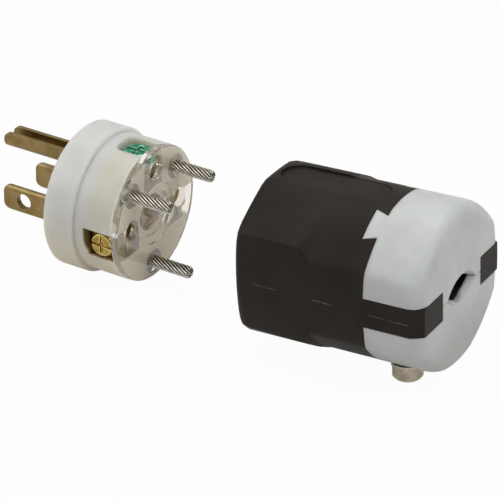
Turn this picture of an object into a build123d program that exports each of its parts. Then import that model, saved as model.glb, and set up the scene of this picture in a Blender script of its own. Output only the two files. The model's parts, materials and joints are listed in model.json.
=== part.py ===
"""Three-pin electrical plug, lying open: the contact half and the back half with its cord clamp.

The origin is the centre of the plug's front face. X runs along the plug's axis, with the blades on the
-X side and the cord end on the +X side, and Z is up. Sizes are in millimetres and angles in degrees.
"""
import os
from math import cos, radians, sin

from build123d import *

os.makedirs("parts", exist_ok=True)

# Body of the contact half
flange_radius = 17.0
flange_length = 7.6
flange_edge = 0.5
core_radius = 16.0
core_length = 10.0
pocket_depth = 8.6
pocket_margin = 0.25
slot_clearance = 0.05

# Clear cover
cover_thickness = 1.7
cover_step = 0.1
cover_edge = 0.3
hub_ring_radii = (7.4, 5.6, 4.0)
hub_ring_depth = 0.3
hub_post_radius = 1.3
hub_boss_radius = 4.4
cover_boss_radius = 2.9
cover_boss_length = 2.2
wire_hole_radius = 2.5
wire_hole_reach = 9.95
wire_hole_drop = 0.0
ground_wire_hole_rise = 10.6

# Blades
blade_spacing = 12.7
blade_width = 6.2
blade_thickness = 1.5
blade_length = 18.0
blade_drop = 3.26
blade_tip_radius = 1.1
blade_tip_chamfer = 0.35
lock_hole_diameter = 3.9
lock_hole_reach = 12.2

# Ground pin, a U-shaped section open at the top
ground_rise = 11.9
pin_width = 4.75
pin_wall = 0.97
pin_leg_rise = 1.75
pin_length = 20.7
pin_tip_radius = 1.6
ground_tab_width = 6.2

# Screw terminals
tab_depth = 3.4
bend_radius = 0.5
wire_gap = 1.2
clamp_plate_thickness = 1.5
clamp_plate_width = 6.0
clamp_plate_length = 5.6
terminal_screw_radius = 1.7
terminal_hole_clearance = 0.2
terminal_head_radius = 3.0
terminal_head_height = 2.1
terminal_head_edge = 0.5
ground_head_radius = 3.3
terminal_screw_x = 14.2
terminal_screw_drop = 2.9
terminal_tip_length = 0.6
drive_slot_width = 0.8
drive_slot_depth = 0.8
window_margin = 0.4

# Assembly screws
upper_bolt_inset = 4.0
upper_bolt_angle = 42.5
lower_bolt_inset = 3.5
bolt_head_radius = 2.6
bolt_head_height = 2.0
bolt_head_edge = 0.6
bolt_head_recess = 0.4
bolt_head_clearance = 0.15
bolt_shank_radius = 1.2
bolt_hole_radius = 1.6
bolt_stand_out = 9.4
ridge_radius = 1.45
ridge_depth = 0.22
ridge_starts = 12
ridge_lead = 16.0
ridge_run_in = 0.8

# Back shell
shell_gap = 31.9
shell_pitch = 4.2
front_top = 18.8
front_top_edge = (6.9, 18.5)
front_side = 18.9
front_side_edge = (17.8, 11.7)
front_bulge = 0.55
front_corner_radius = 1.5
rear_top = 18.7
rear_top_edge = (5.6, 18.0)
rear_side = 18.9
rear_side_edge = (18.2, 8.4)
rear_bulge = 1.1
rear_corner_radius = 4.0
front_length = 15.4
step_length = 2.2
front_edge_radius = 2.0
back_chamfer_length = 1.8
back_chamfer_inset = 2.6
shell_fit = 0.3
shell_bore_extra = 0.4
wire_chamber_inset = 1.4
wire_chamber_clearance = 1.4
end_wall = 4.6
cord_hole_radius = 8.0
boss_radius = 3.8
boss_length = 11.0
label_length = 26.0
label_width = 8.4
label_depth = 0.6
label_start = 1.8

# Threaded inserts
insert_radius = 2.3
insert_length = 6.0
insert_bore_radius = 1.5

# Cord seal
seal_radius = 10.5
seal_thickness = 2.0
seal_fit = 0.1
seal_bore_radius = 3.5
seal_web = 1.2

# Cord clamp
jaw_length = 13.5
jaw_fit = 0.12
jaw_edge_radius = 3.6
arm_height = 6.6
arm_inner = 8.9
jaw_gap = 0.3
mouth_width = 13.6
mouth_height = 7.0
lip_width = 12.6
lip_height = 4.4
lip_depth = 1.5
lip_wall = 0.6
channel_radius = 3.0
grip_rib_width = 1.1
grip_rib_height = 0.8
grip_rib_places = (1.5, 4.5)
lug_angle = 31.0
lug_neck = 5.6
lug_end = 7.6
lug_length = 3.1
lug_depth = 3.2
lug_fit = 0.1

# Bridge that joins the shell's arms behind the jaws' lips
bridge_height = 6.6
bridge_opening_width = 13.0
bridge_opening_height = 5.0
bridge_screw_wall = 0.8

# Clamp screws
clamp_screw_place = 3.4
clamp_screw_spacing = 11.2
clamp_screw_radius = 1.5
clamp_hole_radius = 1.7
clamp_head_radius = 3.4
clamp_head_edge = 0.6
clamp_washer_radius = 3.65
clamp_washer_thickness = 0.9
clamp_seat = 16.9
clamp_seat_margin = 0.3
nut_width = 5.5
nut_thickness = 2.3
nut_rise = 5.2
nut_fit = 0.1
clamp_screw_past_nut = 1.2

# Places that follow from the sizes above
core_end = flange_length + core_length
wire_chamber_radius = core_radius - wire_chamber_inset
upper_bolt_y = (core_radius - upper_bolt_inset) * cos(radians(upper_bolt_angle))
upper_bolt_z = (core_radius - upper_bolt_inset) * sin(radians(upper_bolt_angle))
bolt_places = {
    "right": (upper_bolt_y, upper_bolt_z),
    "left": (-upper_bolt_y, upper_bolt_z),
    "lower": (0, lower_bolt_inset - core_radius),
}
cover_end = core_end + cover_thickness
pocket_floor = core_end - pocket_depth
terminal_reach = core_radius - tab_depth
pin_z = ground_rise - blade_drop
tab_end = core_end - 2 * pocket_margin
bolt_tip = cover_end + bolt_stand_out
insertion_depth = cover_end - flange_length
floor_z = -flange_radius

pitch = radians(shell_pitch)
shell_x = cover_end + shell_gap
shell_z = floor_z + (front_top - front_edge_radius) * cos(pitch) + front_edge_radius * (1 - sin(pitch))
bore_depth = insertion_depth + shell_bore_extra
end_wall_start = bore_depth + boss_length + wire_chamber_clearance + seal_thickness
jaw_start = end_wall_start + end_wall
shell_length = jaw_start + jaw_length
clamp_screw_s = jaw_start + clamp_screw_place
bridge_start = clamp_screw_s + clamp_hole_radius + bridge_screw_wall
bridge_end = shell_length - lip_depth - lip_wall
head_flat = clamp_head_radius - clamp_head_edge
head_reach = (shell_z - floor_z + (clamp_screw_s - head_flat) * sin(pitch)) / cos(pitch)
clamp_head_height = head_reach - clamp_seat - clamp_washer_thickness

plug_plane = Plane(origin=(0, 0, 0), x_dir=(0, 1, 0), z_dir=(1, 0, 0))
shell_plane = Plane(origin=(shell_x, 0, shell_z), x_dir=(0, 1, 0), z_dir=(cos(pitch), 0, sin(pitch)))


def finish(builder, name):
    """Labels a finished piece and writes it."""
    builder.part.label = name
    export_step(builder.part, f"parts/{name}.step")


def pin_section(clearance=0.0):
    """The ground pin's U-shaped section, drawn in the current sketch and grown by a clearance."""
    outer = pin_width / 2 + clearance
    inner = pin_width / 2 - pin_wall - clearance
    leg_top = pin_leg_rise + clearance
    with Locations((0, pin_z)):
        Circle(outer)
        with Locations((0, leg_top / 2)):
            Rectangle(2 * outer, leg_top)
        Circle(inner, mode=Mode.SUBTRACT)
        with Locations((0, outer)):
            Rectangle(2 * inner, 2 * outer, mode=Mode.SUBTRACT)
        with Locations((0, leg_top + outer)):
            Rectangle(3 * outer, 2 * outer, mode=Mode.SUBTRACT)


with BuildPart() as plug_body:
    with BuildSketch(plug_plane):
        Circle(flange_radius)
    extrude(amount=flange_length)
    flange_edges = plug_body.edges().filter_by(GeomType.CIRCLE)
    with BuildSketch(plug_plane.offset(flange_length)):
        Circle(core_radius)
    extrude(amount=core_length)
    chamfer(flange_edges, length=flange_edge)
    # Slots for the blades and the ground pin, through the flange to the pocket floors
    with BuildSketch(plug_plane):
        for side in (-1, 1):
            with Locations((side * blade_spacing / 2, -blade_drop)):
                Rectangle(blade_thickness + 2 * slot_clearance, blade_width + 2 * slot_clearance)
        pin_section(slot_clearance)
    extrude(amount=pocket_floor, mode=Mode.SUBTRACT)
    # Terminal pockets, open at the back under the cover
    screw_reach = terminal_reach - wire_gap - clamp_plate_thickness - terminal_tip_length
    inner_y = min((blade_spacing - blade_thickness) / 2, screw_reach - blade_thickness) - pocket_margin
    outer_y = terminal_reach + pocket_margin
    half_pocket = terminal_head_radius + window_margin + pocket_margin
    pocket_top = half_pocket - terminal_screw_drop
    pocket_bottom = -max(blade_drop + blade_width / 2, terminal_screw_drop + half_pocket) - pocket_margin
    with BuildSketch(plug_plane.offset(core_end)):
        for side in (-1, 1):
            with Locations((side * (inner_y + outer_y) / 2, (pocket_top + pocket_bottom) / 2)):
                Rectangle(outer_y - inner_y, pocket_top - pocket_bottom)
        ground_floor_z = min(pin_z - pin_width / 2, screw_reach - pin_wall) - pocket_margin
        with Locations((0, (ground_floor_z + outer_y) / 2)):
            Rectangle(2 * (ground_head_radius + window_margin + pocket_margin), outer_y - ground_floor_z)
    extrude(amount=-pocket_depth, mode=Mode.SUBTRACT)
    # Side windows that the terminal screws are turned through, each with one rounded corner
    line_window_front = terminal_screw_x - terminal_head_radius - window_margin
    for side in (-1, 1):
        with BuildSketch(Plane.XZ.offset(-side * (terminal_reach - pocket_margin))):
            with Locations(((line_window_front + core_end) / 2, -terminal_screw_drop)):
                Rectangle(core_end - line_window_front, 2 * (terminal_head_radius + window_margin))
            lower_front = vertices().sort_by(Axis.X)[:2].sort_by(Axis.Z)[0]
            fillet(lower_front, radius=terminal_head_radius)
        extrude(amount=-side * core_radius, mode=Mode.SUBTRACT)
    ground_window_front = terminal_screw_x - ground_head_radius - window_margin
    with BuildSketch(Plane.XY.offset(terminal_reach - pocket_margin)):
        with Locations(((ground_window_front + core_end) / 2, 0)):
            Rectangle(core_end - ground_window_front, 2 * (ground_head_radius + window_margin))
        fillet(vertices().sort_by(Axis.X)[:2], radius=ground_head_radius / 2)
    extrude(amount=core_radius, mode=Mode.SUBTRACT)
    # Passages for the assembly screws, with seats for their heads and for the cover's bosses
    with BuildSketch(plug_plane):
        with Locations(*bolt_places.values()):
            Circle(bolt_hole_radius)
    extrude(amount=core_end, mode=Mode.SUBTRACT)
    with BuildSketch(plug_plane):
        with Locations(*bolt_places.values()):
            Circle(bolt_head_radius + bolt_head_clearance)
    extrude(amount=bolt_head_recess + bolt_head_height, mode=Mode.SUBTRACT)
    with BuildSketch(plug_plane.offset(core_end)):
        with Locations(*bolt_places.values()):
            Circle(cover_boss_radius + slot_clearance)
        Circle(hub_boss_radius + slot_clearance)
    extrude(amount=-cover_boss_length - slot_clearance, mode=Mode.SUBTRACT)
finish(plug_body, "plug_body")


with BuildPart() as clear_cover:
    with BuildSketch(plug_plane.offset(core_end)):
        Circle(core_radius - cover_step)
    extrude(amount=cover_thickness)
    chamfer(clear_cover.edges().filter_by(GeomType.CIRCLE).sort_by(Axis.X)[-1], length=cover_edge)
    # Bosses that seat in the body
    with BuildSketch(plug_plane.offset(core_end)):
        with Locations(*bolt_places.values()):
            Circle(cover_boss_radius)
        Circle(hub_boss_radius)
    extrude(amount=-cover_boss_length)
    # Stepped hub, sunk ring by ring round a post
    for step, radius in enumerate(hub_ring_radii, start=1):
        with BuildSketch(plug_plane.offset(cover_end)):
            Circle(radius)
            Circle(hub_post_radius, mode=Mode.SUBTRACT)
        extrude(amount=-step * hub_ring_depth, mode=Mode.SUBTRACT)
    # Holes for the screws and the wires
    with BuildSketch(plug_plane.offset(cover_end)):
        with Locations(*bolt_places.values()):
            Circle(bolt_hole_radius)
        with Locations(
            (-wire_hole_reach, -wire_hole_drop),
            (wire_hole_reach, -wire_hole_drop),
            (0, ground_wire_hole_rise),
        ):
            Circle(wire_hole_radius)
    extrude(amount=-cover_thickness - cover_boss_length, mode=Mode.SUBTRACT)
finish(clear_cover, "clear_cover")


def make_blade(side, name):
    """A blade folded from one strip: the blade, a leg across the pocket floor and the terminal tab."""
    blade_y = blade_spacing / 2 - blade_thickness / 2
    with BuildPart() as blade:
        with BuildSketch(Plane.XY.offset(-blade_drop)):
            with BuildLine():
                FilletPolyline(
                    (-blade_length, blade_y),
                    (pocket_floor + blade_thickness, blade_y),
                    (pocket_floor + blade_thickness, terminal_reach - blade_thickness),
                    (tab_end, terminal_reach - blade_thickness),
                    radius=bend_radius,
                )
                offset(amount=blade_thickness, side=Side.LEFT)
            make_face()
            if side < 0:
                mirror(about=Plane.XZ, mode=Mode.REPLACE)
        extrude(amount=blade_width / 2, both=True)
        tip = blade.faces().sort_by(Axis.X)[0]
        fillet(tip.edges().filter_by(Axis.Y), radius=blade_tip_radius)
        chamfer(blade.faces().sort_by(Axis.X)[0].edges().filter_by(Axis.Z), length=blade_tip_chamfer)
        with Locations(Plane(origin=(-lock_hole_reach, 0, -blade_drop), z_dir=(0, 1, 0))):
            Cylinder(lock_hole_diameter / 2, 2 * blade_spacing, mode=Mode.SUBTRACT)
        with Locations(Plane(origin=(terminal_screw_x, 0, -terminal_screw_drop), z_dir=(0, 1, 0))):
            Cylinder(terminal_screw_radius + terminal_hole_clearance, 2 * core_radius, mode=Mode.SUBTRACT)
    finish(blade, name)


make_blade(-1, "line_blade")
make_blade(1, "neutral_blade")


with BuildPart() as ground_pin:
    with BuildSketch(plug_plane.offset(-pin_length)):
        pin_section()
    extrude(amount=pin_length + pocket_floor + pin_wall / 2)
    leg_corners = ground_pin.edges().filter_by(Axis.Y).group_by(Axis.X)[0].group_by(Axis.Z)[-1]
    fillet(leg_corners, radius=pin_tip_radius)
    with BuildSketch(Plane.XZ):
        with BuildLine():
            FilletPolyline(
                (pocket_floor + pin_wall, pin_z - pin_width / 2),
                (pocket_floor + pin_wall, terminal_reach - pin_wall),
                (tab_end, terminal_reach - pin_wall),
                radius=bend_radius,
            )
            offset(amount=pin_wall, side=Side.LEFT)
        make_face()
    extrude(amount=ground_tab_width / 2, both=True)
    with Locations((terminal_screw_x, 0, terminal_reach)):
        Cylinder(terminal_screw_radius + terminal_hole_clearance, 2 * blade_thickness, mode=Mode.SUBTRACT)
finish(ground_pin, "ground_pin")


def make_terminal(plane, strip, head_radius, name):
    """A terminal's screw and its threaded clamp plate, on a plane on the tab's outer face, z outwards."""
    plate_top = -strip - wire_gap
    plate_bottom = plate_top - clamp_plate_thickness
    with BuildPart() as screw:
        with BuildSketch(plane):
            Circle(head_radius)
        extrude(amount=terminal_head_height)
        rim = screw.faces().sort_by(Axis(plane.origin, plane.z_dir))[-1]
        chamfer(rim.edges(), length=terminal_head_edge)
        with BuildSketch(plane):
            Circle(terminal_screw_radius)
        extrude(amount=plate_bottom - terminal_tip_length)
        with BuildSketch(plane.offset(terminal_head_height)):
            Rectangle(3 * head_radius, drive_slot_width)
            Rectangle(drive_slot_width, 1.3 * head_radius)
        extrude(amount=-drive_slot_depth, mode=Mode.SUBTRACT)
    finish(screw, f"{name}_terminal_screw")
    with BuildPart() as plate:
        with BuildSketch(plane.offset(plate_bottom)):
            Rectangle(clamp_plate_length, clamp_plate_width)
            fillet(vertices(), radius=0.5)
            Circle(terminal_screw_radius, mode=Mode.SUBTRACT)
        extrude(amount=clamp_plate_thickness)
    finish(plate, f"{name}_clamp_plate")


for side, name in ((-1, "line"), (1, "neutral")):
    make_terminal(
        Plane(
            origin=(terminal_screw_x, side * terminal_reach, -terminal_screw_drop),
            x_dir=(1, 0, 0),
            z_dir=(0, side, 0),
        ),
        blade_thickness,
        terminal_head_radius,
        name,
    )
make_terminal(
    Plane(origin=(terminal_screw_x, 0, terminal_reach), x_dir=(1, 0, 0), z_dir=(0, 0, 1)),
    pin_wall,
    ground_head_radius,
    "ground",
)


def ridged_section():
    """A star with one ridge for each start of the screw's steep helix, drawn in the current sketch."""
    points = []
    for step in range(2 * ridge_starts):
        angle = radians(180 * step / ridge_starts)
        radius = ridge_radius - ridge_depth * (step % 2)
        points.append((radius * cos(angle), radius * sin(angle)))
    with BuildLine() as outline:
        Polyline(*points, close=True)
    make_face(outline.edges())


for name, (bolt_y, bolt_z) in bolt_places.items():
    ridge_start = core_end + ridge_run_in
    ridge_length = bolt_tip - ridge_start
    with BuildSketch() as ridges:
        ridged_section()
    twisted = Solid.extrude_linear_with_rotation(
        ridges.face(), (0, 0, 0), (0, 0, ridge_length), 360 * ridge_length / ridge_lead
    )
    bolt_plane = Plane(origin=(0, bolt_y, bolt_z), x_dir=(0, 1, 0), z_dir=(1, 0, 0))
    with BuildPart() as assembly_screw:
        with BuildSketch(bolt_plane.offset(bolt_head_recess)):
            Circle(bolt_head_radius)
        extrude(amount=bolt_head_height)
        chamfer(assembly_screw.edges().filter_by(GeomType.CIRCLE).sort_by(Axis.X)[0], length=bolt_head_edge)
        with BuildSketch(bolt_plane.offset(bolt_head_recess)):
            Rectangle(1.3 * bolt_head_radius, drive_slot_width)
            Rectangle(drive_slot_width, 1.3 * bolt_head_radius)
        extrude(amount=bolt_head_height / 2, mode=Mode.SUBTRACT)
        with BuildSketch(bolt_plane.offset(bolt_head_recess + bolt_head_height)):
            Circle(bolt_shank_radius)
        extrude(amount=bolt_tip - bolt_head_recess - bolt_head_height)
        add(bolt_plane.offset(ridge_start).location * twisted)
    finish(assembly_screw, f"assembly_screw_{name}")


def shell_section(top, top_edge, side, side_edge, bulge, corner_radius):
    """The shell's outline: crowned flats at the top, bottom and sides, joined by bulged diagonals."""
    middle = (Vector(*top_edge) + Vector(*side_edge)) / 2
    middle += middle.normalized() * bulge
    with BuildLine() as outline:
        ThreePointArc((-top_edge[0], top_edge[1]), (0, top), top_edge)
        ThreePointArc((-top_edge[0], -top_edge[1]), (0, -top), (top_edge[0], -top_edge[1]))
        for hand in (-1, 1):
            upper = (hand * side_edge[0], side_edge[1])
            lower = (hand * side_edge[0], -side_edge[1])
            ThreePointArc(upper, (hand * side, 0), lower)
            ThreePointArc((hand * top_edge[0], top_edge[1]), (hand * middle.X, middle.Y), upper)
            ThreePointArc((hand * top_edge[0], -top_edge[1]), (hand * middle.X, -middle.Y), lower)
    make_face(outline.edges())
    fillet(vertices(), radius=corner_radius)


def front_section():
    shell_section(
        front_top, front_top_edge, front_side, front_side_edge, front_bulge, front_corner_radius
    )


def rear_section():
    shell_section(rear_top, rear_top_edge, rear_side, rear_side_edge, rear_bulge, rear_corner_radius)


def arm_sections(clearance=0.0, mode=Mode.ADD):
    """The two clamp arms in cross-section, from their inner edge outwards, grown by a clearance."""
    width = 2 * rear_side
    for hand in (-1, 1):
        with Locations((hand * (arm_inner - clearance + width / 2), 0)):
            Rectangle(width, arm_height + 2 * clearance, mode=mode)


def clamp_screw_plane(side):
    """A plane across the left (-1) or right (1) clamp screw, z pointing down towards its head."""
    place = Vector(side * clamp_screw_spacing / 2, 0, clamp_screw_s)
    down = shell_plane.origin - shell_plane.from_local_coords(Vector(0, 1, 0))
    return Plane(shell_plane.from_local_coords(place), x_dir=shell_plane.z_dir, z_dir=down)


def dovetails(hand, clearance=0.0):
    """The two dovetail lugs of the upper (hand 1) or lower (hand -1) jaw, grown by a clearance."""
    with BuildPart() as lugs:
        for lean in (-1, 1):
            angle = radians(lean * lug_angle)
            outward = Vector(sin(angle), hand * cos(angle), 0)
            along = Vector(cos(angle), -hand * sin(angle), 0)
            lug_plane = Plane(
                origin=shell_plane.from_local_coords(Vector(0, 0, jaw_start)),
                x_dir=shell_plane.from_local_coords(along) - shell_plane.origin,
                z_dir=shell_plane.from_local_coords(outward) - shell_plane.origin,
            )
            front = -lug_length if lug_plane.y_dir.dot(shell_plane.z_dir) > 0 else lug_length
            end = front * (1 + clearance / lug_length)
            with BuildSketch(lug_plane.offset(rear_top - lug_depth - clearance)):
                with BuildLine():
                    Polyline(
                        (-lug_neck / 2 - clearance, 0),
                        (-lug_end / 2 - clearance, end),
                        (lug_end / 2 + clearance, end),
                        (lug_neck / 2 + clearance, 0),
                        close=True,
                    )
                make_face()
            extrude(amount=2 * lug_depth)
    return lugs.part


with BuildPart() as back_shell:
    with BuildSketch(shell_plane):
        front_section()
    extrude(amount=front_length)
    rim = back_shell.faces().sort_by(Axis(shell_plane.origin, shell_plane.z_dir))[0]
    fillet(rim.edges(), radius=front_edge_radius)
    with BuildSketch(shell_plane.offset(front_length)):
        front_section()
    with BuildSketch(shell_plane.offset(front_length + step_length)):
        rear_section()
    loft(ruled=True)
    with BuildSketch(shell_plane.offset(front_length + step_length)):
        rear_section()
    extrude(amount=shell_length - front_length - step_length)
    back = back_shell.faces().sort_by(Axis(shell_plane.origin, shell_plane.z_dir))[-1]
    chamfer(back.edges(), length=back_chamfer_length, length2=back_chamfer_inset, reference=back)
    # Space for the jaws, which leaves the two arms between them
    with BuildSketch(shell_plane.offset(jaw_start)):
        Rectangle(3 * rear_side, 3 * rear_side)
        arm_sections(mode=Mode.SUBTRACT)
    extrude(amount=2 * jaw_length, mode=Mode.SUBTRACT)
    for hand in (-1, 1):
        add(dovetails(hand, lug_fit), mode=Mode.SUBTRACT)
    # Room for the clamp washers, whose front edges pass the jaws
    for side in (-1, 1):
        with BuildSketch(clamp_screw_plane(side).offset(clamp_seat)):
            Circle(clamp_washer_radius + clamp_seat_margin)
        extrude(amount=rear_top, mode=Mode.SUBTRACT)
    # Bridge between the arms, open in the middle for the cord
    with BuildSketch(shell_plane.offset(bridge_start)):
        Rectangle(2 * arm_inner + arm_height, bridge_height)
        SlotOverall(bridge_opening_width, bridge_opening_height, mode=Mode.SUBTRACT)
    extrude(amount=bridge_end - bridge_start)
    # Bore that the contact half slides into, and the wire chamber with its three screw bosses
    with BuildSketch(shell_plane):
        Circle(core_radius + shell_fit)
    extrude(amount=bore_depth, mode=Mode.SUBTRACT)
    with BuildSketch(shell_plane.offset(bore_depth)):
        Circle(wire_chamber_radius)
        with Locations(*bolt_places.values()):
            Circle(boss_radius, mode=Mode.SUBTRACT)
    extrude(amount=end_wall_start - bore_depth, mode=Mode.SUBTRACT)
    with BuildSketch(shell_plane.offset(bore_depth + boss_length)):
        Circle(wire_chamber_radius)
    extrude(amount=end_wall_start - bore_depth - boss_length, mode=Mode.SUBTRACT)
    with BuildSketch(shell_plane.offset(bore_depth)):
        with Locations(*bolt_places.values()):
            Circle(insert_radius)
    extrude(amount=insert_length, mode=Mode.SUBTRACT)
    with BuildSketch(shell_plane.offset(bore_depth)):
        with Locations(*bolt_places.values()):
            Circle(bolt_hole_radius)
    extrude(amount=boss_length, mode=Mode.SUBTRACT)
    with BuildSketch(shell_plane.offset(end_wall_start)):
        Circle(cord_hole_radius)
    extrude(amount=end_wall, mode=Mode.SUBTRACT)
    # Bare oval label area on top
    label_place = Vector(0, front_top - label_depth, label_start + label_length / 2)
    label_up = shell_plane.from_local_coords(Vector(0, 1, 0)) - shell_plane.origin
    with BuildSketch(Plane(shell_plane.from_local_coords(label_place), x_dir=shell_plane.z_dir, z_dir=label_up)):
        SlotOverall(label_length, label_width)
    extrude(amount=2 * label_depth, mode=Mode.SUBTRACT)
finish(back_shell, "back_shell")


for name, place in bolt_places.items():
    with BuildPart() as shell_insert:
        with BuildSketch(shell_plane.offset(bore_depth)):
            with Locations(place):
                Circle(insert_radius)
                Circle(insert_bore_radius, mode=Mode.SUBTRACT)
        extrude(amount=insert_length)
    finish(shell_insert, f"shell_insert_{name}")


with BuildPart() as cord_seal:
    with BuildSketch(shell_plane.offset(end_wall_start - seal_thickness)):
        Circle(seal_radius)
    extrude(amount=seal_thickness)
    with BuildSketch(shell_plane.offset(end_wall_start)):
        Circle(cord_hole_radius - seal_fit)
    extrude(amount=end_wall - seal_fit)
    with BuildSketch(shell_plane.offset(end_wall_start - seal_thickness)):
        Circle(cord_hole_radius - seal_web)
    extrude(amount=seal_thickness + end_wall - seal_fit - seal_web, mode=Mode.SUBTRACT)
    with BuildSketch(shell_plane.offset(end_wall_start)):
        Circle(seal_bore_radius)
    extrude(amount=end_wall, mode=Mode.SUBTRACT)
finish(cord_seal, "cord_seal")


def almond(width, height):
    """The mouth's outline, two arcs that meet in points at the sides, drawn in the current sketch."""
    with BuildLine() as outline:
        ThreePointArc((-width / 2, 0), (0, height / 2), (width / 2, 0))
        ThreePointArc((-width / 2, 0), (0, -height / 2), (width / 2, 0))
    make_face(outline.edges())


def make_jaw(hand, name):
    """The upper (hand 1) or lower (hand -1) cord jaw, with lugs, grip ribs and screw passages."""
    with BuildPart() as lug_stock:
        with BuildSketch(shell_plane.offset(jaw_start - lug_length)):
            rear_section()
        extrude(amount=lug_length)
        add(dovetails(hand), mode=Mode.INTERSECT)
    with BuildPart() as jaw:
        with BuildSketch(shell_plane.offset(jaw_start)):
            rear_section()
        extrude(amount=jaw_length)
        back = jaw.faces().sort_by(Axis(shell_plane.origin, shell_plane.z_dir))[-1]
        fillet(back.edges(), radius=jaw_edge_radius)
        with BuildSketch(shell_plane.offset(jaw_start)):
            with Locations((0, -hand * (2 * rear_side - jaw_gap / 2))):
                Rectangle(4 * rear_side, 4 * rear_side)
            arm_sections(jaw_fit)
        extrude(amount=jaw_length, mode=Mode.SUBTRACT)
        with BuildSketch(shell_plane.offset(bridge_start - jaw_fit)):
            Rectangle(2 * arm_inner, bridge_height + 2 * jaw_fit)
        extrude(amount=bridge_end - bridge_start + 2 * jaw_fit, mode=Mode.SUBTRACT)
        add(lug_stock.part)
        # Cord channel with grip ribs, and the almond-shaped mouth
        with BuildSketch(shell_plane.offset(jaw_start)):
            Circle(channel_radius - grip_rib_height)
        extrude(amount=jaw_length, mode=Mode.SUBTRACT)
        groove_start = 0.0
        for rib_place in grip_rib_places:
            with BuildSketch(shell_plane.offset(jaw_start + groove_start)):
                Circle(channel_radius)
            extrude(amount=rib_place - groove_start, mode=Mode.SUBTRACT)
            groove_start = rib_place + grip_rib_width
        with BuildSketch(shell_plane.offset(jaw_start + groove_start)):
            Circle(channel_radius)
        extrude(amount=jaw_length - groove_start, mode=Mode.SUBTRACT)
        with BuildSketch(shell_plane.offset(shell_length)):
            almond(mouth_width, mouth_height)
        with BuildSketch(shell_plane.offset(shell_length - lip_depth)):
            almond(lip_width, lip_height)
        loft(ruled=True, mode=Mode.SUBTRACT)
        with BuildSketch(shell_plane.offset(bridge_end)):
            almond(lip_width, lip_height)
        extrude(amount=lip_depth + lip_wall, mode=Mode.SUBTRACT)
        # Passages for the clamp screws, with nut slots above or washer seats below
        for side in (-1, 1):
            screw_plane = clamp_screw_plane(side)
            with BuildSketch(screw_plane):
                Circle(clamp_hole_radius)
            if hand > 0:
                extrude(amount=-nut_rise - nut_thickness - 2 * clamp_screw_past_nut, mode=Mode.SUBTRACT)
                slot = nut_width + 2 * nut_fit
                with BuildSketch(screw_plane.offset(nut_fit - nut_rise)):
                    with Locations((-jaw_length, 0)):
                        Rectangle(2 * jaw_length + slot, slot)
                extrude(amount=-nut_thickness - 2 * nut_fit, mode=Mode.SUBTRACT)
            else:
                extrude(amount=rear_top, mode=Mode.SUBTRACT)
                with BuildSketch(screw_plane.offset(clamp_seat)):
                    Circle(clamp_washer_radius + clamp_seat_margin)
                extrude(amount=rear_top, mode=Mode.SUBTRACT)
    finish(jaw, name)


make_jaw(1, "upper_clamp_jaw")
make_jaw(-1, "lower_clamp_jaw")


for side, name in ((-1, "left"), (1, "right")):
    screw_plane = clamp_screw_plane(side)
    under_head = clamp_seat + clamp_washer_thickness
    with BuildPart() as clamp_screw:
        with BuildSketch(screw_plane.offset(under_head)):
            Circle(clamp_head_radius)
        extrude(amount=clamp_head_height)
        head_end = clamp_screw.faces().sort_by(Axis(screw_plane.origin, screw_plane.z_dir))[-1]
        chamfer(head_end.edges(), length=clamp_head_edge)
        with BuildSketch(screw_plane.offset(head_reach)):
            Rectangle(3 * clamp_head_radius, drive_slot_width)
        extrude(amount=-drive_slot_depth, mode=Mode.SUBTRACT)
        with BuildSketch(screw_plane.offset(under_head)):
            Circle(clamp_screw_radius)
        extrude(amount=-under_head - nut_rise - nut_thickness - clamp_screw_past_nut)
    finish(clamp_screw, f"clamp_screw_{name}")
    with BuildPart() as clamp_washer:
        with BuildSketch(screw_plane.offset(clamp_seat)):
            Circle(clamp_washer_radius)
            Circle(clamp_hole_radius, mode=Mode.SUBTRACT)
        extrude(amount=clamp_washer_thickness)
    finish(clamp_washer, f"clamp_washer_{name}")
    with BuildPart() as clamp_nut:
        with BuildSketch(screw_plane.offset(-nut_rise)):
            Rectangle(nut_width, nut_width)
            Circle(clamp_screw_radius, mode=Mode.SUBTRACT)
        extrude(amount=-nut_thickness)
    finish(clamp_nut, f"clamp_nut_{name}")
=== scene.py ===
# %% [markdown]
# # An electrical plug lying open
# A straight-blade plug in two halves: the contact half, which is translucent nylon with brass blades and a
# clear cover, and the black back half with its white cord clamp. The CAD model gives every size and place.
# Here each visible piece gets the small forms and the finish that a CAD solid leaves out: soft moulded edges,
# steep screw threads, parting lines and the light that passes through the plastic.

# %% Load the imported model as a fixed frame
import json
import math

import bmesh
import bpy
from mathutils import Matrix, Vector

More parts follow.
